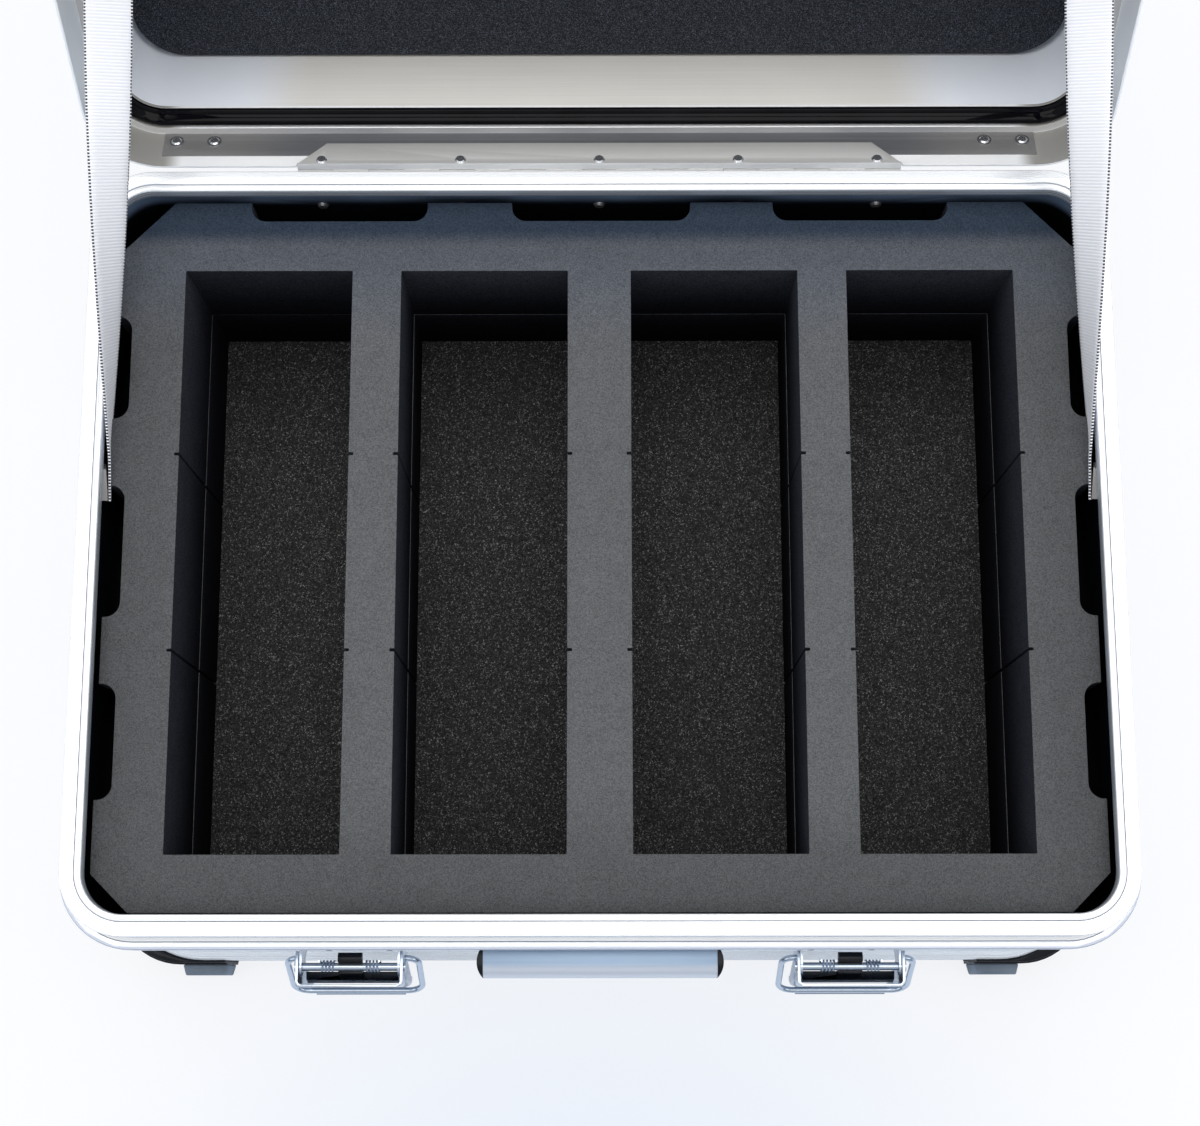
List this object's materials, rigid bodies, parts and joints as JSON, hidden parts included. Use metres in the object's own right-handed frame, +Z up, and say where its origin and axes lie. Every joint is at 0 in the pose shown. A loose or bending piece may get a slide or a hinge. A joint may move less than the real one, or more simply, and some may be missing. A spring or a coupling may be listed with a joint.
{
  "type": "hard transport case with foam insert",
  "caption": "Hard aluminium transport case, shown open, with a deep foam insert of long pockets, a hinged lid on webbing straps, draw latches and drop handles.",
  "frame": {"origin": "on the floor under the middle of the base", "axes": "+Z up, +X to the right seen from the front, +Y to the hinge side"},
  "size_m": [0.841, 1.0333, 0.8234],
  "materials": {
    "case_sheet": "satin",
    "rim_profile": "satin",
    "lid_lining": "satin",
    "dark_lining": "matte",
    "black_plastic": "satin",
    "grey_plastic": "matte",
    "grey_foam": "matte",
    "dark_foam": "matte",
    "speckled_foam": "matte",
    "black_rubber": "satin",
    "hinge_steel": "satin",
    "latch_steel": "satin",
    "handle_metal": "satin",
    "rivet_metal": "satin",
    "bail_wire": "polished",
    "webbing": "matte"
  },
  "bodies": {
    "base": {"base_shell": "case_sheet", "base_rim": "rim_profile", "base_edge_profiles": "case_sheet", "wall_liner": "dark_lining", "bottom_runners": "black_plastic", "corner_protectors": "black_plastic", "corner_feet": "grey_plastic", "foam_top_front": "grey_foam", "foam_top_rear": "grey_foam", "foam_top_left": "grey_foam", "foam_top_right": "grey_foam", "foam_top_webs": "grey_foam", "foam_lower_layer": "dark_foam", "foam_floor_pad": "speckled_foam", "foam_base_block": "dark_foam", "hinge_leaf_base": "hinge_steel", "hinge_pin": "hinge_steel", "hinge_rivets_base": "rivet_metal", "latch_plate_left": "latch_steel", "latch_plate_right": "latch_steel", "latch_axles": "latch_steel", "latch_rivets": "rivet_metal", "strap_anchors_base": "hinge_steel", "strap_left": "webbing", "strap_right": "webbing", "front_handle_housing": "handle_metal", "left_handle_housing": "handle_metal", "right_handle_housing": "handle_metal", "front_handle_caps": "black_plastic", "left_handle_caps": "black_plastic", "right_handle_caps": "black_plastic", "handle_axles": "latch_steel", "handle_springs": "latch_steel", "handle_rivets": "rivet_metal", "latch_springs_left": "bail_wire", "latch_springs_right": "bail_wire"},
    "lid": {"lid_shell": "case_sheet", "lid_frame": "rim_profile", "lid_liner": "lid_lining", "lid_gasket": "black_rubber", "lid_foam": "speckled_foam", "lid_corners": "black_plastic", "hinge_leaf_lid": "hinge_steel", "hinge_cover_strip": "rim_profile", "hinge_rivets_lid": "rivet_metal", "lid_rivets": "rivet_metal", "lid_keepers": "latch_steel", "strap_anchors_lid": "hinge_steel"},
    "lever_left": {"latch_lever_left": "latch_steel"},
    "lever_right": {"latch_lever_right": "latch_steel"},
    "bail_left": {"latch_bail_left": "bail_wire"},
    "bail_right": {"latch_bail_right": "bail_wire"},
    "catch_left": {"latch_catch_left": "black_plastic"},
    "catch_right": {"latch_catch_right": "black_plastic"},
    "handle_front": {"front_handle_loop": "latch_steel", "front_handle_grip": "black_rubber"},
    "handle_left": {"left_handle_loop": "latch_steel", "left_handle_grip": "black_rubber"},
    "handle_right": {"right_handle_loop": "latch_steel", "right_handle_grip": "black_rubber"}
  },
  "joints": [
    {"name": "lid_hinge", "type": "hinge", "parent": "base", "child": "lid", "pos_m": [0, 0.3035, 0.284], "axis": [-1, 0, 0], "range_deg": [-118, 0], "deforming": ["strap_left", "strap_right"]},
    {"name": "latch_lever_left", "type": "hinge", "parent": "base", "child": "lever_left", "pos_m": [-0.187, -0.312, 0.25], "axis": [1, 0, 0], "range_deg": [-110, 0]},
    {"name": "latch_bail_left", "type": "hinge", "parent": "lever_left", "child": "bail_left", "pos_m": [-0.187, -0.3055, 0.2385], "axis": [-1, 0, 0], "range_deg": [0, 157]},
    {"name": "latch_catch_left", "type": "hinge", "parent": "lever_left", "child": "catch_left", "pos_m": [-0.187, -0.312, 0.25], "axis": [1, 0, 0], "range_deg": [0, 12], "stiffness_Nm_per_rad": 0.06},
    {"name": "latch_lever_right", "type": "hinge", "parent": "base", "child": "lever_right", "pos_m": [0.187, -0.312, 0.25], "axis": [1, 0, 0], "range_deg": [-110, 0]},
    {"name": "latch_bail_right", "type": "hinge", "parent": "lever_right", "child": "bail_right", "pos_m": [0.187, -0.3055, 0.2385], "axis": [-1, 0, 0], "range_deg": [0, 157]},
    {"name": "latch_catch_right", "type": "hinge", "parent": "lever_right", "child": "catch_right", "pos_m": [0.187, -0.312, 0.25], "axis": [1, 0, 0], "range_deg": [0, 12], "stiffness_Nm_per_rad": 0.06},
    {"name": "handle_front_hinge", "type": "hinge", "parent": "base", "child": "handle_front", "pos_m": [0, -0.3085, 0.236], "axis": [-1, 0, 0], "range_deg": [0, 90], "stiffness_Nm_per_rad": 0.2},
    {"name": "handle_left_hinge", "type": "hinge", "parent": "base", "child": "handle_left", "pos_m": [-0.4085, 0, 0.179], "axis": [0, 1, 0], "range_deg": [0, 90], "stiffness_Nm_per_rad": 0.2},
    {"name": "handle_right_hinge", "type": "hinge", "parent": "base", "child": "handle_right", "pos_m": [0.4085, 0, 0.179], "axis": [0, -1, 0], "range_deg": [0, 90], "stiffness_Nm_per_rad": 0.2}
  ]
}
